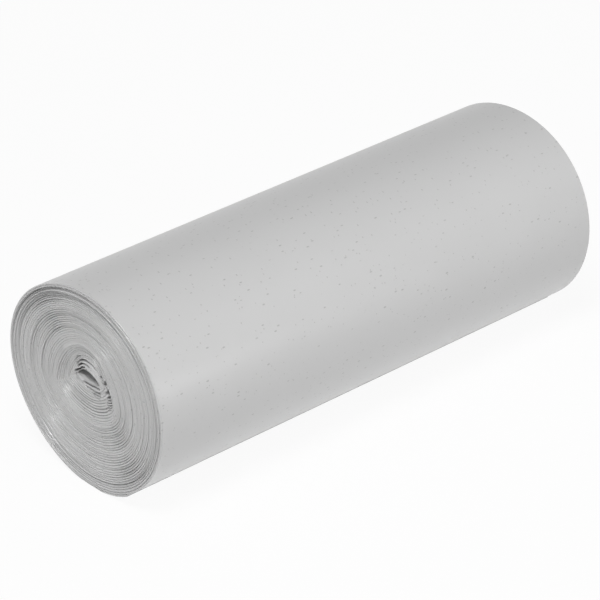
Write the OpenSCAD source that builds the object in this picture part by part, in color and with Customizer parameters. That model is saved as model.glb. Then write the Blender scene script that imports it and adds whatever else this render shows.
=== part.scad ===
// A roll of bin bags: one long folded film web, wound on itself without a core.
// The roll lies along X. The end at -X is the near end, and the end at +X the far end.

/* [Roll] */
// Length of the roll, which is the width of the folded web
roll_l = 200; // [150:5:400]
// Width of the roll as it lies
roll_w = 80; // [64:1:110]
// Height of the roll as it lies, before its foot is pressed flat
roll_h = 74.5; // [62:0.5:104]
// Width of the foot, which the roll's own weight presses flat
foot_w = 12; // [8:1:20]
// Bulge of the soft section at three places round it
lobe = 0.4; // [0:0.05:0.8]
// Direction of the first bulge, in degrees up from the right, seen at the near end
lobe_angle = 50; // [0:5:115]
// Bulge to the upper right and the lower left, by which the oval section leans
skew = 0.3; // [0:0.05:0.6]

/* [Free edge] */
// Direction of the web's free edge, in degrees up from the right, seen at the near end
tail_angle = 300; // [290:5:330]
// Thickness of the folded web at its free edge
tail_step = 0.8; // [0.4:0.1:1.2]

/* [Wound ends] */
// Turns shown at the ends, each for several turns of the thin web
turns = 24.4; // [16:0.1:26]
// Depth of the groove between two turns shown
groove = 0.45; // [0.1:0.05:0.8]
// Height by which the turn behind the outermost one stands out of the near end
rim_proud = 0.7; // [0:0.1:1.5]
// Distance from the rim in to the turn that stands out
rim_proud_in = 1.2; // [0.8:0.1:3]
// Height by which the middle turns have slipped inwards
ledge = 0.7; // [0:0.1:2]
// Distance from the rim in to the edge of the middle turns
ledge_in = 11; // [6:0.5:14]
// Height by which the inner turns have slipped further inwards
dish = 0.9; // [0:0.1:2.5]
// Distance from the rim in to the edge of the inner turns
dish_in = 25.5; // [16:0.5:28]
// Height by which each turn has slipped against the next one
turn_slip = 0.15; // [0:0.05:0.3]

/* [Eye] */
// Width of the collapsed eye between its two corners
eye_w = 10.6; // [6:0.2:16]
// Rise of the eye's upper arch over its corners
eye_rise = 3.1; // [1.5:0.1:5]
// Drop of the eye's lower arch under its corners
eye_drop = 1.6; // [0.5:0.1:4]
// Place of the eye to the right of the roll's middle, seen at the near end
eye_right = -0.2; // [-4:0.1:4]
// Place of the eye above the roll's middle
eye_up = 3.1; // [0:0.1:7]
// Lean of the inner turns, in degrees down to the right
eye_lean = 16; // [0:1:24]

/* [Hidden] */

film_grey = [0.77, 0.77, 0.77];

// Steps round one turn, and along the whole winding
around = 48;
steps = round(turns * around);

// Width that the winding fills, from the eye's corner out to the rim at the free edge
wind_w = (roll_w + tail_step - eye_w) / 2;
half_h = (roll_h + tail_step) / 2;

// Shares of the winding at which the turns have slipped, and the softness of each edge
proud_at = 1 - rim_proud_in / wind_w;
ledge_at = 1 - ledge_in / wind_w;
dish_at = 1 - dish_in / wind_w;
proud_soft = 0.8 / wind_w;
slip_soft = 1.4 / wind_w;

// The web lies tight at the eye and at the rim, and looser between them
looseness = 1 - tail_step * turns / wind_w;

// How fast the turns lose the eye's place and its corners on their way out
shift_power = 1.5;
corner_power = 3;

// The eye lies level, the turns just round it lean most, and the lean is lost further out
lean_power = 4;
lean_peak = 0.082;

// The turns under the eye take more room at once
sag_power = 0.85;

// Share of its distance from the rim that a turn keeps where the foot is pressed flat
foot_hold = 0.9;

// Degrees by which the slip of one turn differs from the next one's, and how sharply it ends at the rim
slip_turn = 137.5;
rim_power = 6;

// Part of the proud turn's height that comes only on the side of the free edge
proud_sway = 0.4;

// Share of the winding, from 0 at the eye to 1 at the rim, after so many steps
function wound(step) =
    let (t = step / steps)
    t - looseness * sin(360 * t) / (2 * PI);

// Direction of the winding after so many steps, which ends at the free edge
function heading(step) = tail_angle + 360 * (step - steps) / around;

// A smooth rise from 0 to 1 over the given softness, and a smooth hump of height 1
function rise(x, soft) =
    let (t = min(max(x / soft / 2 + 0.5, 0), 1))
    t * t * (3 - 2 * t);
function hump(x, soft) = exp(-pow(x / soft, 2));

// Half height of a turn above and below its corners
function half_above(q) = eye_rise + (half_h - eye_rise) * q;
function half_below(q) = eye_drop + (half_h - eye_drop) * pow(q, sag_power);

// A turn's outline goes from a lens with two corners at the eye to an oval at the rim
function turn_outline(q, a) =
    let (
        half = sin(a) > 0 ? half_above(q) : half_below(q),
        pinch = pow(abs(sin(a)), pow(1 - q, corner_power)),
        swell = q * q * (lobe * cos(3 * (a - lobe_angle)) + skew * sin(2 * a))
    )
    [(eye_w / 2 + wind_w * q + swell) * cos(a), (half * pinch + swell) * sin(a)];

// The outline leans and moves up to the eye's place
function turn_point(q, a) =
    let (
        p = turn_outline(q, a),
        lean = -eye_lean * q * pow(1 - q, lean_power) / lean_peak,
        away = pow(1 - q, shift_power)
    )
    [
        p.x * cos(lean) - p.y * sin(lean) + eye_right * away,
        p.x * sin(lean) + p.y * cos(lean) + eye_up * away
    ];

// The foot is a plane for the outermost turn, and the turns over it follow it less and less
foot_rim = [
    for (i = [steps - around : steps])
        let (p = turn_point(wound(i), heading(i)))
        if (abs(p.x) < foot_w / 2 && p.y < 0) p.y
];
foot_plane = max(foot_rim);

function pressed(p, q, step) =
    let (
        turns_in = floor((steps - step) / around),
        rim_q = wound(step + turns_in * around)
    )
    [p.x, max(p.y, foot_plane + foot_hold * (half_below(rim_q) - half_below(q)))];

// Height of a turn over the plane of the near end
function slipped(q, step) =
    rim_proud * hump(q - proud_at, proud_soft) * (1 - proud_sway * (1 - cos(heading(step) - tail_angle)))
    - ledge * (1 - rise(q - ledge_at, slip_soft))
    - dish * (1 - rise(q - dish_at, slip_soft))
    + turn_slip * sin(slip_turn * step / around) * (1 - pow(q, rim_power));

// A web of constant width slips as a whole, so what stands out at one end is sunk at the other
function end_point(side, q, step, depth) =
    let (p = pressed(turn_point(q, heading(step)), q, step))
    [side * roll_l / 2 - slipped(q, step) - side * depth, -p.x, p.y];

// Points of one end: those between the turns, then those on the turns' backs
function end_points(side) = [
    for (i = [0 : steps]) end_point(side, wound(i), i, groove),
    for (i = [0 : steps - around]) end_point(side, (wound(i) + wound(i + around)) / 2, i, 0)
];

backs = steps + 1;
far = backs + steps - around + 1;

// Two triangles on each flank of a turn, and the same ones facing the other way at the far end
flank_faces = [
    for (i = [0 : steps - around - 1])
        let (a = i, b = i + 1, c = backs + i + 1, d = backs + i, e = b + around, f = a + around)
        each [[a, b, c], [a, c, d], [d, c, e], [d, e, f]]
];
function turned(faces) = [for (t = faces) [t[2] + far, t[1] + far, t[0] + far]];

// Loops of points round the eye and round the rim, each closed over its step
eye_loop = [each [0 : around], backs];
rim_loop = [each [steps : -1 : steps - around], backs + steps - around];

function wall_faces(loop) = [
    for (i = [0 : len(loop) - 1])
        let (a = loop[i], b = loop[(i + 1) % len(loop)])
        [a, a + far, b + far, b]
];

module bag_roll() {
    raw = [each end_points(-1), each end_points(1)];
    xs = [for (p = raw) p.x];
    ys = [for (p = raw) p.y];
    zs = [for (p = raw) p.z];
    middle = [(min(xs) + max(xs)) / 2, (min(ys) + max(ys)) / 2, min(zs)];
    color(film_grey)
        polyhedron(
            points = [for (p = raw) p - middle],
            faces = [
                each flank_faces,
                each turned(flank_faces),
                each wall_faces(eye_loop),
                each wall_faces(rim_loop)
            ]
        );
}

bag_roll();
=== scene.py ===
# %% [markdown]
# A roll of bin bags
#
# The real thing is one long web of thin grey film, folded lengthwise and wound on itself without a
# core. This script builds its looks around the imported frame. It makes one mesh for the wound web,
# finished on both ends, gives it a satin film material, and lays it on a plain white floor.

# %% Load the frame
import math
import bpy
import numpy as np
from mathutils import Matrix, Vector


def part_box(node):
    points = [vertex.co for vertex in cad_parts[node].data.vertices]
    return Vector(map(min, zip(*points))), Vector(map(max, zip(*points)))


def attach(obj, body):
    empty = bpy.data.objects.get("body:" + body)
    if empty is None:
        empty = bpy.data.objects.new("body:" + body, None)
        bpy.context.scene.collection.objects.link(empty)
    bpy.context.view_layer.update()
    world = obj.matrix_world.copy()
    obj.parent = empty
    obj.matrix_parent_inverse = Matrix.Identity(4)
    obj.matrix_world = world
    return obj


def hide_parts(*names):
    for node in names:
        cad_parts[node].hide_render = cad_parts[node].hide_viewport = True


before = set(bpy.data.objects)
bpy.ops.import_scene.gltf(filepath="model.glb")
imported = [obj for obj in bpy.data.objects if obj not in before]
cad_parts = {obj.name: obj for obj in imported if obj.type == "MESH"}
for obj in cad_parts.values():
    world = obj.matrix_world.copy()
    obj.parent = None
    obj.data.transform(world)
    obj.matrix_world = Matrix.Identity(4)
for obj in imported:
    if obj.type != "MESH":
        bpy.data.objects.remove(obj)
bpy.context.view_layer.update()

MM_PER_METRE = 1000

low, high = (MM_PER_METRE * np.array(corner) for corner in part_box("bag_roll"))
print("the roll's box in millimetres:", low.round(2), high.round(2))

# %% [markdown]
# Small helpers for modelling by hand
#
# Every tool below works on what is selected, as it does in the window. So each step first clears
# the selection and then picks vertices by their place. These short functions do that.

# %% Helpers for modelling
def leave_editing():
    if bpy.context.mode != "OBJECT":
        bpy.ops.object.mode_set(mode="OBJECT")


def start_clean():
    """Leave edit mode and clear the selection, because the frame's nodes come in selected."""
    leave_editing()
    bpy.ops.object.select_all(action="DESELECT")


def places_of(piece):
    """The places of a piece's vertices, one row each."""
    leave_editing()
    flat = np.empty(len(piece.data.vertices) * 3)
    piece.data.vertices.foreach_get("co", flat)
    return flat.reshape(-1, 3)


def edit_where(piece, rule):
    """Select the vertices whose places follow the rule, and go to edit mode."""
    chosen = rule(places_of(piece))
    mesh = piece.data
    mesh.polygons.foreach_set("select", np.zeros(len(mesh.polygons), bool))
    mesh.edges.foreach_set("select", np.zeros(len(mesh.edges), bool))
    mesh.vertices.foreach_set("select", np.broadcast_to(chosen, len(mesh.vertices)).copy())
    bpy.ops.object.mode_set(mode="EDIT")
    bpy.ops.mesh.select_mode(type="VERT")


def selected_points(piece):
    """Which of a piece's vertices are selected."""
    leave_editing()
    chosen = np.empty(len(piece.data.vertices), bool)
    piece.data.vertices.foreach_get("select", chosen)
    return chosen


# %% [markdown]
# One ridge
#
# Seen along its length, the roll's end is the same small ridge again and again, one for each turn.
# Each turn drawn is 0.8 mm thick, as the step of the free edge shows, and 44 of them fill the roll
# from the eye to the rim. So the section starts as a single edge, cut from a plane and divided in
# four: a groove, a shoulder, the back of the turn and the other shoulder. Sizes are the real ones,
# in millimetres, and the whole roll is brought to metres at the end.

# %% One ridge
LENGTH = 200.0  # of the roll
TURNS, TURN = 44, 0.8  # how many turns are drawn, and how thick each is
ROUND_EYE = 4.0  # radius of the eye, as long as the outline is round
RIDGE_STEPS = 4

start_clean()
bpy.ops.mesh.primitive_plane_add(
    size=TURN,
    location=((TURN - LENGTH) / 2, 0, ROUND_EYE + TURN / 2),
    rotation=(math.pi / 2, 0, 0),
)
web = bpy.context.active_object
web.name = "wound_web"
bpy.ops.object.transform_apply(location=True, rotation=True, scale=True)
edit_where(web, lambda p: p[:, 0] > (TURN - LENGTH) / 2)
bpy.ops.mesh.delete(type="VERT")
bpy.ops.mesh.select_all(action="SELECT")
bpy.ops.mesh.subdivide(number_cuts=RIDGE_STEPS - 1)
leave_editing()
print("one ridge:", len(web.data.vertices), "points")

# %% [markdown]
# All the ridges
#
# An Array modifier repeats the ridge from the eye to the rim. The folds round the eye are finer
# than that, so the inner turns are divided once more.

# %% Repeat the ridge
FINE_TURNS = 12
SAME_PLACE = 0.01  # places that are nearer to each other than this are the same

repeat = web.modifiers.new("all turns", "ARRAY")
repeat.count = TURNS
repeat.use_relative_offset = False
repeat.use_constant_offset = True
repeat.constant_offset_displace = (0, 0, TURN)
repeat.use_merge_vertices = True
repeat.merge_threshold = SAME_PLACE
bpy.ops.object.modifier_apply(modifier=repeat.name)
edit_where(web, lambda p: p[:, 2] < ROUND_EYE + FINE_TURNS * TURN + SAME_PLACE)
bpy.ops.mesh.subdivide(number_cuts=1)
leave_editing()
print("ridges of the end:", len(web.data.vertices), "points")

# %% [markdown]
# The side and the wall of the eye
#
# Both run straight along the roll. They could be made as tubes and joined on, but extruding the two
# corners of the outline keeps everything one web. The steps are short near the end, where the
# grooves begin, and long in the middle. A Mirror modifier then makes the other half.

# %% Extrude the walls and mirror
WALL_STEPS = (0.5, 1.0, 1.5, 3.0, 6.0, 10.0, 12.0, 14.0, 16.0, 18.0, 18.0)

rim_radius = ROUND_EYE + TURNS * TURN
print("wall to the middle:", sum(WALL_STEPS), "mm, round rim radius:", rim_radius, "mm")


def at_near_end(places):
    """Whether each place is in the plane of the near end."""
    return places[:, 0] < SAME_PLACE - LENGTH / 2


for corner_radius in (ROUND_EYE, rim_radius):
    edit_where(web, lambda p: at_near_end(p) & (np.abs(p[:, 2] - corner_radius) < SAME_PLACE))
    for step_along in WALL_STEPS:
        bpy.ops.mesh.extrude_region_move(TRANSFORM_OT_translate={"value": (step_along, 0, 0)})
leave_editing()

other_half = web.modifiers.new("other half", "MIRROR")
other_half.use_axis = (True, False, False)
other_half.use_mirror_merge = True
other_half.merge_threshold = SAME_PLACE
bpy.ops.object.modifier_apply(modifier=other_half.name)
print("outline:", len(web.data.vertices), "points,", len(web.data.edges), "edges")

# %% [markdown]
# Spinning the outline
#
# The outline is spun once round the roll's axis, with its two ends left unjoined. That gives a
# stack of closed rings, which is not yet a roll. A later step turns the rings into one spiral.

# %% Spin
COLUMNS = 192

edit_where(web, lambda p: True)
bpy.ops.mesh.spin(
    steps=COLUMNS,
    angle=2 * math.pi,
    center=(0, 0, 0),
    axis=(1, 0, 0),
    use_auto_merge=False,
)
last_column = selected_points(web)
print("spun:", len(last_column), "points, of which", last_column.sum(), "in the last column")

# %% [markdown]
# Finer faces at the pockets
#
# Beside the eye of the near end the turns bend so sharply that small pockets stay open between
# them, each about a millimetre from the next. The faces there are divided once more, so that the
# pockets stay apart. The last column lies elsewhere, so the new points aren't in it.

# %% Divide the faces at the pockets
TAIL_ANGLE = math.radians(300)  # direction of the free edge, up from the right
POCKET_TURNS, POCKET_ANGLES = (3.4, 10.1), (math.radians(331), math.radians(401))
HAIR = 1e-6  # keeps a place at the very start from counting as a whole turn


def share_round(places):
    """The share of a turn from the start of the spin round to each place."""
    return np.mod(np.arctan2(places[:, 1], places[:, 2]) / (2 * math.pi) + HAIR, 1.0)


def inside(values, limits):
    return (values > limits[0]) & (values < limits[1])


def at_pockets(places):
    """Whether each place is where the pockets will be."""
    turn = (np.hypot(places[:, 1], places[:, 2]) - ROUND_EYE) / TURN
    angle = TAIL_ANGLE + 2 * math.pi * share_round(places)
    return at_near_end(places) & inside(turn, POCKET_TURNS) & inside(angle, POCKET_ANGLES)


edit_where(web, at_pockets)
bpy.ops.mesh.subdivide(number_cuts=1)
leave_editing()
new_points = len(web.data.vertices) - len(last_column)
last_column = np.append(last_column, np.zeros(new_points, bool))
print("finer faces at the pockets:", new_points, "new points")

# %% [markdown]
# From rings to a spiral
#
# A roll is one sheet, so going once round must lead one turn further out. Each point gets the
# number of turns that lie under it, which is its ring plus its share of the way round. The last
# column then meets the first one, one turn further out, and all that is left open is the step of
# the free edge.

# %% The ring and the heading of each point
FINEST = 16  # steps across a ridge at the pockets

spun = places_of(web)
radius = np.hypot(spun[:, 1], spun[:, 2])
way_round = share_round(spun)
way_round[last_column] = 1.0
heading = TAIL_ANGLE + 2 * math.pi * way_round
step = np.rint((radius - ROUND_EYE) / TURN * FINEST)
ring, share = step // FINEST, step % FINEST / FINEST
on_end = np.abs(spun[:, 0]) > LENGTH / 2 - SAME_PLACE
side = np.sign(spun[:, 0])
print("rings:", int(ring.max()), "points on the two ends:", on_end.sum())

# %% [markdown]
# The shape of a turn
#
# The innermost turn is a flat lens with two corners, because the roll has no core and its eye has
# collapsed. Further out the corners hang down on both sides of the eye, as the turns sag, and then
# they fade, and the outermost turn is a slightly oval ring. A few knots say how far each turn
# reaches to the right, to the left, up and down. Between knots a straight line is averaged over
# its neighbours, which rounds its bends.

# %% The reach of each turn
TURN_KNOTS = {
    "right": ((0, 5.6), (2, 7.2), (4, 8.9), (6, 10.3), (9, 11.9), (12, 13.8), (44, 39.6)),
    "left": ((0, 5.5), (12, 15.3), (44, 39.6)),
    "top": ((0, 6.0), (5, 10.6), (8, 12.6), (12, 14.2), (44, 36.9)),
    "bottom": ((0, -1.6), (12, 9.9), (44, 36.9)),
    "right tip": (
        (0, 3.3), (3, 3.6), (5, 2.4), (8, -0.2), (12, -2.6), (20, -1.6), (34, 0.0), (44, 0.0),
    ),
    "left tip": ((0, 3.0), (6, -0.6), (12, -3.4), (20, -1.8), (34, 0.0), (44, 0.0)),
    "right corner": ((0, 0.3), (3, 0.6), (7, 0.8), (12, 0.35), (18, 0.1), (26, 0.0), (44, 0.0)),
    "left corner": ((0, 1.9), (3, 1.3), (6, 0.6), (12, 0.3), (20, 0.08), (28, 0.0), (44, 0.0)),
}
PAST_ENDS = 10  # turns by which a line goes on past its first and last knots
ROUNDED_OVER = (-1.5, -0.75, 0, 0.75, 1.5)


def between(knots, turn):
    """A line through knots, straight on past its ends, with its bends rounded over three turns."""
    at, reach = (np.array(v, float) for v in zip(*knots))
    slopes = np.diff(reach) / np.diff(at)
    before, after = reach[0] - PAST_ENDS * slopes[0], reach[-1] + PAST_ENDS * slopes[-1]
    at = np.concatenate([[at[0] - PAST_ENDS], at, [at[-1] + PAST_ENDS]])
    reach = np.concatenate([[before], reach, [after]])
    return sum(np.interp(turn + shift, at, reach) for shift in ROUNDED_OVER) / len(ROUNDED_OVER)


print("innermost turn reaches", between(TURN_KNOTS["right"], 0).round(2), "mm to the right")

# %% [markdown]
# The place of a turn
#
# A point of a turn is found from its direction, as on an oval. Near the eye the outline is pinched
# towards the two tips, and its upper arch leans to the left. Near the rim it bulges a little, as
# soft rolls do. The pinch never closes a corner completely, because faces without a width would
# be lost when doubles are merged.

# %% The place of a turn in the section
SWELL, SWELL_AT, SKEW = 0.4, math.radians(50), 0.3
CORNER_OPEN = 0.04
ARCH_LEAN, ARCH_LEAN_TURNS = 1.4, 3
FOOT_WIDTH = 12.0


def turn_place(turns_under, angle):
    """Right and up in the section, for a number of turns under a point and a direction."""
    turn = np.clip(turns_under - 1, 0, TURNS)
    reach = {name: between(knots, turn) for name, knots in TURN_KNOTS.items()}
    across, upwards = np.cos(angle), np.sin(angle)
    to_right, to_top = across > 0, upwards > 0
    tip = np.where(to_right, reach["right tip"], reach["left tip"])
    corner = np.where(to_right, reach["right corner"], reach["left corner"])
    extreme = np.where(to_top, reach["top"], -reach["bottom"])
    lobes = SWELL * np.cos(3 * (angle - SWELL_AT)) + SKEW * np.sin(2 * angle)
    swell = (turn / TURNS) ** 2 * lobes
    right = (np.where(to_right, reach["right"], reach["left"]) + swell) * across
    arch = (1 - CORNER_OPEN) * np.abs(upwards) ** (1 + corner) + CORNER_OPEN * np.abs(upwards)
    up = tip + (extreme - tip) * arch + swell * upwards
    lean = ARCH_LEAN * np.maximum(upwards, 0) * np.exp(-turn / ARCH_LEAN_TURNS)
    return right - lean, up


all_round = np.arange(361)
rim_right, rim_up = turn_place(
    TURNS + 1 + np.linspace(-1, 0, len(all_round)), TAIL_ANGLE + np.radians(all_round)
)
foot_level = rim_up[(np.abs(rim_right) < FOOT_WIDTH / 2) & (rim_up < 0)].max()
print("rim:", rim_right.min().round(2), "to", rim_right.max().round(2), "mm")
print("foot at", foot_level.round(2), "mm")

# %% [markdown]
# Slipped turns
#
# On a real roll the turns have slipped along each other by a fraction of a millimetre. A few knots,
# from the rim inwards, say how far each group of turns stands out of the near end. The turns round
# the eye are sunk as a disc, with a steep edge at the top and a gentle one at the bottom. A sum of
# slow waves along the web adds the slip of single turns, and it goes on from turn to turn without
# a jump, as the web does.

# %% Slip along the roll
SLIP_KNOTS = (
    (0.0, 0.0), (1.3, 0.44), (2.0, 0.1), (2.8, 0.46), (3.6, 0.08), (4.4, 0.3), (5.2, -0.12),
    (6.0, 0.08), (8.0, 0.12), (10.0, 0.05), (10.9, 0.14), (11.9, -0.42), (14.0, -0.45),
    (16.2, -0.38), (17.3, -0.74), (20.0, -0.6), (23.0, -0.7), (36.0, -0.7),
)
SUNK, SUNK_FROM = 0.8, 23.6
SUNK_OVER_TOP, SUNK_OVER_BOTTOM = 3.2, 6.5
SUNK_TURNED, SUNK_POWER = math.radians(20), 1.5
TURN_SLIP, TURN_SLIP_FROM = 0.05, 1.5
TURN_WAVES = ((0.382, 0.3), (0.618, 1.9), (0.237, 4.1), (1.31, 2.2))  # swings a turn, and start


def smooth(t):
    """A rise from 0 to 1 that starts and ends level."""
    return t ** 2 * (3 - 2 * t)


def smooth_between(knots, at):
    """A smooth curve through knots, flat at each one."""
    xs, ys = (np.array(v) for v in zip(*knots))
    i = np.clip(np.searchsorted(xs, at) - 1, 0, len(xs) - 2)
    return ys[i] + (ys[i + 1] - ys[i]) * smooth(np.clip((at - xs[i]) / (xs[i + 1] - xs[i]), 0, 1))


def wave(turn, middle, swing, per_turn, start):
    """A wave along the web, with so many swings a turn."""
    return middle + swing * np.sin(2 * math.pi * per_turn * turn + start)


def slip_of(web_turn):
    """How far the web stands out of the near end, so many turns from its start."""
    wound = np.maximum(web_turn, 1)
    inwards = (TURNS - wound) * TURN
    to_bottom = (0.5 - 0.5 * np.sin(heading - SUNK_TURNED)) ** SUNK_POWER
    over = SUNK_OVER_TOP + (SUNK_OVER_BOTTOM - SUNK_OVER_TOP) * to_bottom
    sunk = SUNK * smooth(np.clip((inwards - SUNK_FROM) / over, 0, 1))
    own = TURN_SLIP * sum(wave(wound, 0, 1, *one) for one in TURN_WAVES)
    own_here = own * np.clip(inwards / TURN_SLIP_FROM, 0, 1)
    return smooth_between(SLIP_KNOTS, inwards) - sunk + own_here


web_turn = ring + way_round
slip = slip_of(web_turn)
in_groove = (share == 0) & (web_turn > 1)
slip = np.where(in_groove, (slip + slip_of(web_turn - 1)) / 2, slip)
print("slip from", slip.min().round(2), "to", slip.max().round(2), "mm")

# %% [markdown]
# Loose places
#
# Where the turns lie tight, the gap between two of them is narrow. Where they lie loose, it is wide
# and deep. Loose places are rings near the rim, arcs of the end and patches beside the eye. Each is
# one row of numbers, so that it can be moved after a look at the picture.

# %% Loose places
LOOSE_RINGS = (
    # distance in from the rim, depth, spread
    (0.8, 0.36, 0.3), (2.0, 0.9, 0.4), (4.1, 0.9, 0.4),
    (5.2, 0.8, 0.4), (6.9, 0.3, 0.4), (11.4, 0.5, 0.5),
)
RINGS_DEEPEST, RINGS_MEAN, RINGS_SWING = math.radians(-45), 0.75, 0.25
LOOSE_ARCS = (
    # direction and half its angle in degrees, distance in from the rim, spread, depth, and how
    # many turns there are for each one that is loose
    (124, 30, 5.0, 3.4, 0.85, 1), (130, 26, 14.5, 5.0, 0.65, 1), (184, 22, 13.0, 2.2, 0.4, 1),
    (318, 22, 18.0, 4.5, 0.6, 1), (312, 26, 7.5, 5.0, 0.7, 1), (256, 36, 13.5, 2.4, 0.6, 2),
    (250, 36, 3.6, 2.4, 0.6, 1),
)
LOOSE_FIRST = 0.6  # the turn at which the pattern of loose turns starts
LOOSE_PATCHES = (
    # right, up, direction in degrees, half the length, half the width, depth
    (-4.5, -5.8, -16, 7.5, 3.4, 1.1), (4.5, -6.4, 18, 5.5, 3.2, 0.8),
    (-12.5, 4.5, 80, 4.5, 2.0, 0.4),
)


def rings_at(angle, inwards):
    """The depth of the loose rings, which are deepest in two directions."""
    uneven = RINGS_MEAN + RINGS_SWING * np.cos(2 * (angle - RINGS_DEEPEST))
    depth = np.zeros(len(angle))
    for middle, most, spread in LOOSE_RINGS:
        depth = np.maximum(depth, most * uneven * np.exp(-((inwards - middle) / spread) ** 2))
    return depth


def arcs_at(angle, inwards, turn):
    """The depth of the loose arcs."""
    depth = np.zeros(len(angle))
    for direction, half_angle, middle, spread, most, every in LOOSE_ARCS:
        off = (np.degrees(angle) - direction + 180) % 360 - 180
        rhythm = 1.0
        if every > 1:
            rhythm = 0.5 + 0.5 * np.cos(2 * math.pi * (turn - LOOSE_FIRST) / every)
        fade = np.exp(-(off / half_angle) ** 2 - ((inwards - middle) / spread) ** 4)
        depth = np.maximum(depth, most * rhythm * fade)
    return depth


def patches_at(right, up):
    """The depth of the loose patches."""
    depth = np.zeros(len(right))
    for at_right, at_up, direction, length, width, most in LOOSE_PATCHES:
        c, s = math.cos(math.radians(direction)), math.sin(math.radians(direction))
        lengthwise = ((right - at_right) * c + (up - at_up) * s) / length
        across = ((up - at_up) * c - (right - at_right) * s) / width
        depth = np.maximum(depth, most * np.exp(-lengthwise ** 4 - across ** 2))
    return depth


print("loose:", len(LOOSE_RINGS), "rings,", len(LOOSE_ARCS), "arcs,", len(LOOSE_PATCHES), "patches")

# %% [markdown]
# The depth of each gap
#
# Narrow deep gaps matter for the looks. Seen across the turns they hide behind each other and the
# end shines, and seen along the turns they show dark, as they do on the real roll. The depth also
# swings slowly from turn to turn, and right round the eye the gaps are shallow.

# %% The depth of each gap
TIGHT_DEPTH = 0.31
# two waves, of loose gaps and of tight ones: middle, swing, swings a turn, start
LIVELY, BANDS = (0.8, 0.2, 0.382, 2.0), (0.65, 0.35, 0.17, 1.0)
# the calm place round the eye: share of the depth that is lost there, middle, half its size
CALM, CALM_AT, CALM_HALF = 0.7, (1.5, 2.5), (6.5, 6.0)
FULLY_OPEN = 0.8  # the depth from which a gap is as wide as gaps get

gap_turn = ring + (share > 0.5) + way_round
gap_right, gap_up = turn_place(gap_turn, heading)
gap_inwards = (TURNS + 1 - gap_turn) * TURN
places_loose = np.maximum(
    arcs_at(heading, gap_inwards, gap_turn), patches_at(gap_right, gap_up)
)
loose = np.maximum(places_loose * wave(gap_turn, *LIVELY), rings_at(heading, gap_inwards))
openness = np.clip(loose / FULLY_OPEN, 0, 1)
calm_right, calm_up = (gap_right - CALM_AT[0]) / CALM_HALF[0], (gap_up - CALM_AT[1]) / CALM_HALF[1]
calm = 1 - CALM * np.exp(-calm_right ** 4 - calm_up ** 4)
gap_depth = TIGHT_DEPTH * calm * wave(gap_turn, *BANDS) + loose
print("deepest gap:", gap_depth.max().round(2), "mm")

# %% [markdown]
# The form of each ridge
#
# The points of a ridge still lie evenly across it. Now those at its shoulders move towards the
# grooves, so that a tight gap becomes narrow and a loose one stays wide. The back of the turn is
# rounded from shoulder to shoulder. The first turn has no gap under it, so the depth starts there.

# %% The form of each ridge
TIGHT_HALF, WIDE_HALF = 0.09, 0.32  # half the width of a gap, as a share of a turn
ROUNDING, LOOSE_ROUNDING = 0.04, 0.15
STARTS_OVER = 0.3  # turns over which the first gap gets its depth

half_gap = TIGHT_HALF + (WIDE_HALF - TIGHT_HALF) * openness
from_groove = RIDGE_STEPS * np.minimum(share, 1 - share)
past_shoulder = np.clip(from_groove - 1, 0, 1)
moved = np.clip(from_groove, 0, 1) * half_gap + past_shoulder * (0.5 - half_gap)
turns_under = ring + np.where(share > 0.5, 1 - moved, moved) + way_round
started = np.clip((turns_under - 1) / STARTS_OVER, 0, 1)
shoulder = ROUNDING + LOOSE_ROUNDING * openness
in_gap = gap_depth + (shoulder - gap_depth) * from_groove
on_back = shoulder * (1 - np.sqrt(past_shoulder))
drop = started * np.where(from_groove < 1, in_gap, on_back)
print("turns under the points: from", turns_under.min().round(2), "to", turns_under.max().round(2))

# %% [markdown]
# Folds
#
# Round the eye the turns have folded. A cloth simulation of so many tight turns would take far too
# long, so the folds are drawn as short lines and pressed in, as with a sculpting brush. Each has a
# width, a depth and the points of its line. A negative depth raises the back of a fold.

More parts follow.
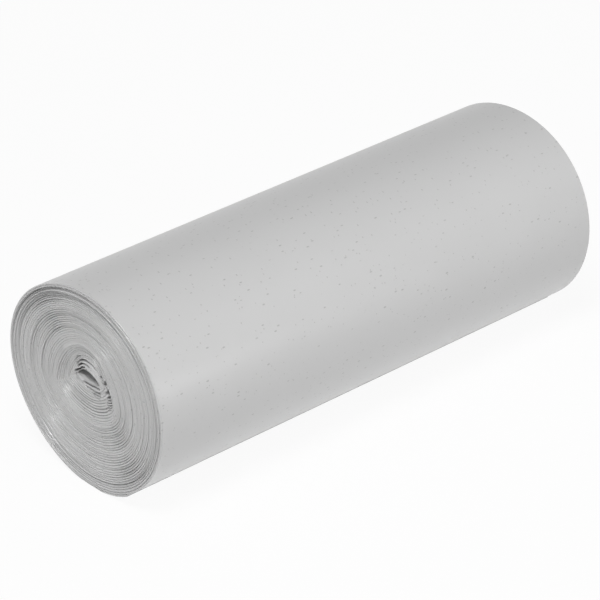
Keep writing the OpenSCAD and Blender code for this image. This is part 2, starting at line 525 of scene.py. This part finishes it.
# %% Folds
FOLDS = (
    # the two slits over the eye's left corner
    (0.24, 2.4, (-6.9, 3.5), (-5.5, 4.3), (-4.4, 5.2), (-3.4, 6.1), (-2.0, 6.7)),
    (0.22, 2.2, (-5.2, 6.0), (-4.2, 6.9), (-3.2, 7.6), (-2.0, 7.9), (0.2, 7.8)),
    # the hook over them
    (0.28, 2.6, (-4.5, 8.1), (-3.6, 8.8), (-2.1, 9.3), (-0.6, 9.4)),
    (0.22, 0.9, (-0.6, 9.4), (0.6, 9.4), (2.1, 9.1), (3.6, 8.4)),
    (0.20, 0.8, (-5.9, 6.7), (-6.4, 7.4), (-6.3, 8.3), (-5.4, 9.4), (-3.8, 10.1)),
    (0.28, 1.4, (-6.0, 6.7), (-5.6, 6.9), (-5.3, 7.3)),
    # the flat slits under the eye
    (0.30, 2.0, (-2.2, 1.1), (0.2, 1.05), (2.8, 1.3), (5.5, 1.6)),
    (0.28, 1.6, (-1.0, -0.1), (1.7, -0.3), (4.0, -0.2), (5.5, 0.1)),
    (0.24, 1.0, (2.1, -1.2), (4.0, -1.4), (5.7, -1.1)),
    (0.22, 0.7, (2.5, -2.2), (4.0, -2.4), (5.5, -2.2)),
    # the row of pockets where the turns bend sharply
    (0.36, 2.6, (6.5, 6.6), (6.7, 6.8)),
    (0.40, 3.2, (8.3, 4.6), (8.7, 5.0), (8.8, 5.6)),
    (0.42, 3.4, (9.5, 2.1), (10.1, 2.5), (10.4, 3.3)),
    (0.22, 2.6, (9.8, 0.4), (10.7, 0.9), (11.5, 1.8)),
    (0.15, 1.8, (9.7, -0.6), (10.9, -0.2), (12.0, 0.7)),
    (0.14, 1.5, (9.6, -1.5), (11.0, -1.1), (12.4, -0.2)),
    (0.13, 1.2, (9.6, -2.4), (11.0, -2.0), (12.5, -1.1)),
    (0.12, 0.9, (9.5, -3.3), (11.0, -2.9), (12.3, -2.1)),
    (0.12, 0.7, (9.3, -4.2), (10.8, -3.8), (12.0, -3.1)),
    # short plies under the eye's left corner
    (0.24, 0.7, (-6.4, 2.8), (-6.3, 1.6), (-5.9, 0.4)),
    (0.24, 0.6, (-5.5, 2.0), (-5.3, 1.0), (-4.9, 0.0)),
    # the raised backs of three folds
    (0.60, -0.5, (-4.3, 2.3), (-3.2, 1.4)),
    (0.50, -0.4, (7.2, 5.6), (7.6, 5.9)),
    (0.50, -0.4, (8.2, 2.3), (9.0, 2.0)),
)
FOLDS_WITHIN = 16.0  # all of them lie this near to the roll's axis
FOLD_EDGE = 1.5  # widths from its line at which a fold ends


def distance_to(line, places):
    """The distance from each place to a line of straight pieces."""
    distance = np.full(len(places), np.inf)
    for start, end in zip(np.array(line[:-1]), np.array(line[1:])):
        along = end - start
        part = np.clip((places - start) @ along / (along @ along), 0, 1)
        off = places - start - part[:, None] * along
        distance = np.minimum(distance, np.linalg.norm(off, axis=1))
    return distance


def folds_at(right, up):
    """The depth of the folds at each place, where the deepest or highest one counts."""
    depth = np.zeros(len(right))
    near = np.flatnonzero(np.hypot(right, up) < FOLDS_WITHIN)
    here = np.column_stack([right[near], up[near]])
    for width, most, *line in FOLDS:
        fold = most * smooth(np.clip(FOLD_EDGE - distance_to(line, here) / width, 0, 1))
        depth[near] = np.where(np.abs(fold) > np.abs(depth[near]), fold, depth[near])
    return depth


print("folds:", len(FOLDS), "lines")

# %% [markdown]
# The place in the section
#
# Now each point gets its place to the right and up. The roll's own weight presses its foot flat:
# the outermost turn rests on the level of the foot, and the turns over it follow less and less.
# Inside the eye the lower wall rises towards the upper one, because the collapsed turns close it
# further in.

# %% The place of every point in the section
FOOT_HOLD = 0.9  # share of its distance from the rim that a turn keeps over the foot
WHOLE = 1e-9  # keeps a whole number of turns from being rounded down
FLOOR_OF_EYE, EYE_RISE, EYE_DEPTH = 4.3, 0.6, 4.0

right, up = turn_place(turns_under, heading)
rims_out = np.floor(TURNS + 1 - turns_under + WHOLE)
rim_up_here = turn_place(turns_under + rims_out, heading)[1]
held = foot_level + FOOT_HOLD * (up - rim_up_here)
up = np.where(up < 0, np.maximum(up, held), up)
fold_depth = started * folds_at(right, up)
print("deepest fold:", fold_depth.max().round(2), "mm")

inside_eye = (step == 0) & ~on_end & (up < FLOOR_OF_EYE)
rise = EYE_RISE * (1 - np.exp(-(LENGTH / 2 - np.abs(spun[:, 0])) / EYE_DEPTH))
up = np.where(inside_eye, up + (FLOOR_OF_EYE - up) * rise, up)
print("points of the eye's lower wall:", inside_eye.sum())

# %% [markdown]
# Placing the points
#
# A web of constant width slips as a whole, so what stands out at one end is sunk at the other. The
# points of the side and of the eye's wall keep their share of the way between the two ends. The
# whole is then brought into the frame's box and to metres. The mesh also keeps two numbers for
# each point, which the material reads: the turns under it, and whether it is on an end.

# %% Place the points
BOX_GAP = 0.01  # the mesh stays this far inside the box

end_along = side * LENGTH / 2 - slip - side * (drop + fold_depth)
wall_along = -slip + (LENGTH / 2 - started * gap_depth) * spun[:, 0] / (LENGTH / 2)
along = np.where(on_end, end_along, wall_along)

placed = np.column_stack([along, -right, up])
own_low, own_high = placed.min(axis=0), placed.max(axis=0)
placed = low + BOX_GAP + (placed - own_low) * (high - low - 2 * BOX_GAP) / (own_high - own_low)
print("fitted to the box by", ((high - low) / (own_high - own_low)).round(4))
web.data.vertices.foreach_set("co", (placed / MM_PER_METRE).ravel())
for name, values in (("turns_under", turns_under), ("wound_end", on_end.astype(float))):
    web.data.attributes.new(name, "FLOAT", "POINT").data.foreach_set("value", values)
web.data.update()

# %% [markdown]
# Merging and closing
#
# The spin left the first and the last column apart. Merging doubles joins them, one turn further
# out, and what is then still open is the step of the free edge, which gets its own face. Normals
# are made to point outwards, and edges that are sharper than sixty degrees stay sharp.

# %% Merge and close
DOUBLE = 1e-6  # metres
SHARP = math.radians(60)

edit_where(web, lambda p: True)
bpy.ops.mesh.remove_doubles(threshold=DOUBLE)
bpy.ops.mesh.dissolve_degenerate(threshold=DOUBLE)
bpy.ops.mesh.select_all(action="DESELECT")
bpy.ops.mesh.select_non_manifold()
print("points on the open step of the free edge:", selected_points(web).sum())
bpy.ops.object.mode_set(mode="EDIT")
bpy.ops.mesh.edge_face_add()
bpy.ops.mesh.select_all(action="SELECT")
bpy.ops.mesh.normals_make_consistent(inside=False)
leave_editing()
bpy.ops.object.shade_smooth_by_angle(angle=SHARP)
print("web:", len(web.data.vertices), "points,", len(web.data.polygons), "faces")

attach(web, "root")
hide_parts("bag_roll")

# %% [markdown]
# Mixing materials
#
# Shader sums are easier to read as sums. This small class wraps the output of a node, so that a
# plus or a times between two of them adds a Math node. One function adds any other node, with its
# settings and its sockets.

# %% Shader helpers
class Value:
    """One output socket of a material, with which sums can be written."""

    def __init__(self, tree, socket):
        self.tree, self.socket = tree, socket

    def maths(self, operation, first, second):
        settings, sockets = {"operation": operation}, {0: first, 1: second}
        return add_node(self.tree, "ShaderNodeMath", settings, sockets)

    def larger(self, other): return self.maths("MAXIMUM", self, other)
    def __add__(self, other): return self.maths("ADD", self, other)
    def __radd__(self, other): return self.maths("ADD", other, self)
    def __sub__(self, other): return self.maths("SUBTRACT", self, other)
    def __rsub__(self, other): return self.maths("SUBTRACT", other, self)
    def __mul__(self, other): return self.maths("MULTIPLY", self, other)
    def __rmul__(self, other): return self.maths("MULTIPLY", other, self)


def add_node(tree, kind, settings=None, sockets=None, output=0):
    """Add a node, set its settings first and its sockets next, and hand back one of its outputs."""
    node = tree.nodes.new(kind)
    for name, setting in (settings or {}).items():
        setattr(node, name, setting)
    for name, value in (sockets or {}).items():
        if isinstance(value, Value):
            tree.links.new(value.socket, node.inputs[name])
        else:
            node.inputs[name].default_value = value
    return Value(tree, node.outputs[output]) if node.outputs else None


def new_material(name):
    """A material with no nodes yet, and its tree."""
    material = bpy.data.materials.new(name)
    material.use_nodes = True
    material.node_tree.nodes.clear()
    return material, material.node_tree


# %% [markdown]
# The patterns of the film
#
# Polythene film is a smooth satin grey, a little cloudy, and never quite clean. Soft noise gives
# the clouds. Short scratches and specks come from two stretched cell patterns, turned differently,
# and another noise crowds them in some places. The edges of the thin plies are too fine for the
# mesh. They follow the web, so they are noise along the number of turns under each point.

# %% The patterns of the film
CLOUD_WAVES, CLOUD_DETAIL, CROWD_WAVES, CROWD_RANGE = 28.0, 3.0, 60.0, (0.2, 0.52)
SPECKS = (
    # spacing and size in millimetres, turn, stretch
    (1.9, 0.22, (0.3, 1.2, 0.4), (1.0, 0.4, 1.0)),
    (2.1, 0.24, (1.1, 0.2, 2.0), (0.4, 1.0, 0.8)),
)
SPECK_EDGE = (1.15, 0.7)  # a speck fades in between these shares of its size
PLIES_PER_TURN, PLY_ROW, PLY_ROUGHNESS = 5.0, 0.37, 0.6

film, tree = new_material("satin_film")
place = add_node(tree, "ShaderNodeTexCoord", output="Object")


def noise(vector, scale, detail=2.0, roughness=0.5, dimensions="3D"):
    """Soft noise from 0 to 1 with its middle at 0.5, with so many waves for each unit."""
    sockets = {"Vector": vector, "Scale": scale, "Detail": detail, "Roughness": roughness}
    return add_node(tree, "ShaderNodeTexNoise", {"noise_dimensions": dimensions}, sockets, "Fac")


def ramp(value, start, end):
    """A smooth rise from 0 at the start to 1 at the end."""
    settings = {"interpolation_type": "SMOOTHSTEP"}
    sockets = {"Value": value, "From Min": start, "From Max": end}
    return add_node(tree, "ShaderNodeMapRange", settings, sockets, "Result")


def carried(name):
    """A number that the mesh carries for each of its points."""
    return add_node(tree, "ShaderNodeAttribute", {"attribute_name": name}, output="Fac")


def specks_of(spacing, size, turn, stretch):
    """Specks of one size, which are 1 in their middles and 0 between them."""
    scale = tuple(MM_PER_METRE / spacing * s for s in stretch)
    sockets = {"Vector": place, "Rotation": turn, "Scale": scale}
    turned = add_node(tree, "ShaderNodeMapping", None, sockets)
    cells = {"Vector": turned, "Scale": 1.0}
    distance = add_node(tree, "ShaderNodeTexVoronoi", None, cells, "Distance")
    return ramp(distance, *(size / spacing * edge for edge in SPECK_EDGE))


clouds = noise(place, CLOUD_WAVES, CLOUD_DETAIL) - 0.5
crowd = ramp(noise(place, CROWD_WAVES), *CROWD_RANGE)
specks = specks_of(*SPECKS[0]).larger(specks_of(*SPECKS[1])) * crowd
on_the_end = carried("wound_end")
ply_place = {"X": carried("turns_under") * PLIES_PER_TURN, "Y": PLY_ROW}
ply_place = add_node(tree, "ShaderNodeCombineXYZ", None, ply_place)
plies = noise(ply_place, 1.0, roughness=PLY_ROUGHNESS, dimensions="2D")
print("patterns:", len(tree.nodes), "nodes")

# %% [markdown]
# The film
#
# The patterns go into the colour, the gloss and the bump. The specks are darker than the film and
# set in, and the plies are a fine relief with a faint tone. The cut ends are glossier than the
# side. Each keeps its gloss in a narrow range of its own, because a gloss that wanders between the
# two would show as pale patches with sharp outlines wherever the white floor is reflected.

# %% Film material
FILM_GREY, FILM_SHINE = 0.55, 0.55
CLOUD_TONE, SPECK_TONE, PLY_TONE = 0.05, 0.25, 0.12
SIDE_ROUGHNESS, END_SMOOTHER, CLOUD_ROUGHNESS = 0.33, 0.14, 0.06
PLY_HEIGHT, SPECK_DEPTH = 0.0002, 0.00006  # metres

cloudy, speckled = 1 + clouds * CLOUD_TONE, 1 - specks * SPECK_TONE
grey = FILM_GREY * cloudy * speckled * (1 + (plies - 0.5) * on_the_end * PLY_TONE)
relief = on_the_end * plies * PLY_HEIGHT - specks * SPECK_DEPTH
relief = {"Height": relief, "Strength": 1.0, "Distance": 1.0}
surface = add_node(tree, "ShaderNodeBsdfPrincipled", None, {
    "Base Color": add_node(
        tree, "ShaderNodeCombineColor", None, {"Red": grey, "Green": grey, "Blue": grey}
    ),
    "Specular IOR Level": FILM_SHINE,
    "Roughness": SIDE_ROUGHNESS - on_the_end * END_SMOOTHER + clouds * CLOUD_ROUGHNESS,
    "Normal": add_node(tree, "ShaderNodeBump", None, relief),
})
add_node(tree, "ShaderNodeOutputMaterial", None, {"Surface": surface})
web.data.materials.clear()
web.data.materials.append(film)
print("film:", len(tree.nodes), "nodes")

# %% [markdown]
# The floor
#
# The roll lies on a white floor. The floor glows for the camera and in reflections, so that it
# stays white without more light on the roll. A small part of it is plain paint, which keeps the
# roll's soft shadow.

# %% Floor
FLOOR_SIZE, FLOOR_PAINT, GLOW_SHARE = 6.0, (0.9, 0.9, 0.9, 1), 0.93
WHITE = (1, 1, 1, 1)


def shown_to_camera(tree):
    """1 where the camera, a reflection or a clear piece looks, and 0 for the light on the roll."""
    looks = [
        add_node(tree, "ShaderNodeLightPath", output=f"Is {kind} Ray")
        for kind in ("Camera", "Glossy", "Transmission")
    ]
    return looks[0].larger(looks[1]).larger(looks[2])


start_clean()
bpy.ops.mesh.primitive_plane_add(size=FLOOR_SIZE, location=(0, 0, 0))
floor = bpy.context.active_object
floor.name = "studio_floor"
white_floor, tree = new_material("white_floor")
paint = add_node(tree, "ShaderNodeBsdfDiffuse", None, {"Color": FLOOR_PAINT})
glow = add_node(tree, "ShaderNodeEmission", None, {"Color": WHITE, "Strength": 1.0})
share_of_glow = shown_to_camera(tree) * GLOW_SHARE
shown = add_node(tree, "ShaderNodeMixShader", None, {0: share_of_glow, 1: paint, 2: glow})
add_node(tree, "ShaderNodeOutputMaterial", None, {"Surface": shown})
floor.data.materials.append(white_floor)
print("floor:", FLOOR_SIZE, "m wide")

# %% [markdown]
# The world
#
# A photographer would hang white paper behind the roll. Here the world shows plain white to the
# camera and in reflections, and gives the roll only a little light of its own, so that the lamps
# can shape it.

# %% World
ROOM_LIGHT, BACKDROP = 0.08, 1.0

world = bpy.data.worlds.new("studio")
bpy.context.scene.world = world
world.use_nodes = True
tree = world.node_tree
tree.nodes.clear()
room, backdrop = (
    add_node(tree, "ShaderNodeBackground", None, {"Color": WHITE, "Strength": strength})
    for strength in (ROOM_LIGHT, BACKDROP)
)
shown = {0: shown_to_camera(tree), 1: room, 2: backdrop}
shown = add_node(tree, "ShaderNodeMixShader", None, shown)
add_node(tree, "ShaderNodeOutputWorld", None, {"Surface": shown})
print("world:", len(tree.nodes), "nodes")

# %% [markdown]
# The lamps
#
# Softboxes are broad lamps with soft edges. The key and the overhead ones light the top and the
# front one the side. The one off the near end is small, so that the wound end gets its sheen to
# the upper right and the lower left. The two largest fill in the far end and the back.

# %% Lamps
LAMPS = {
    # place, width in metres, power in watts
    "key softbox": ((-0.55, -0.37, 1.27), 0.50, 9.2),
    "overhead softbox": ((-0.35, -0.21, 1.38), 0.48, 3.0),
    "front softbox": ((0.30, -1.38, 0.27), 0.60, 6.6),
    "near end softbox": ((-1.31, 0.48, 0.12), 0.42, 5.3),
    "far end softbox": ((0.85, -0.71, 0.89), 1.20, 1.8),
    "back softbox": ((0.70, 0.28, 1.22), 1.20, 1.2),
}
WIDTH_TO_HEIGHT = 1.5


def put_in_scene(name, data, place, turn):
    """Put a lamp or a camera at its place, turned as given."""
    thing = bpy.data.objects.new(name, data)
    bpy.context.scene.collection.objects.link(thing)
    thing.location, thing.rotation_euler = place, turn
    return thing


for name, (spot, wide, watts) in LAMPS.items():
    lamp = bpy.data.lights.new(name, "AREA")
    lamp.shape = "RECTANGLE"
    lamp.size, lamp.size_y = wide, wide / WIDTH_TO_HEIGHT
    lamp.energy = watts
    put_in_scene(name, lamp, spot, (-Vector(spot)).to_track_quat("-Z", "Y").to_euler())
all_watts = round(sum(watts for _, _, watts in LAMPS.values()), 1)
print("lamps:", len(LAMPS), "with", all_watts, "watts together")

# %% [markdown]
# The camera
#
# A long lens looks down on the roll from the near end's side. Its place, turn and focal length were
# fitted to the outline of the roll in the photograph.

# %% Camera
FOCAL_LENGTH, SENSOR_WIDTH = 192.22, 36.0
CAMERA_PLACE = (-0.65224, -0.71938, 0.58810)
LOOKS_DOWN, TURNED_RIGHT = 29.78, 41.99  # degrees

camera_data = bpy.data.cameras.new("camera")
camera_data.lens = FOCAL_LENGTH
camera_data.sensor_width = SENSOR_WIDTH
camera_turn = (math.radians(90 - LOOKS_DOWN), 0, math.radians(-TURNED_RIGHT))
bpy.context.scene.camera = put_in_scene("camera", camera_data, CAMERA_PLACE, camera_turn)
bpy.context.scene.view_settings.view_transform = "Standard"
print("camera:", round(Vector(CAMERA_PLACE).length, 2), "m from the middle of the floor")
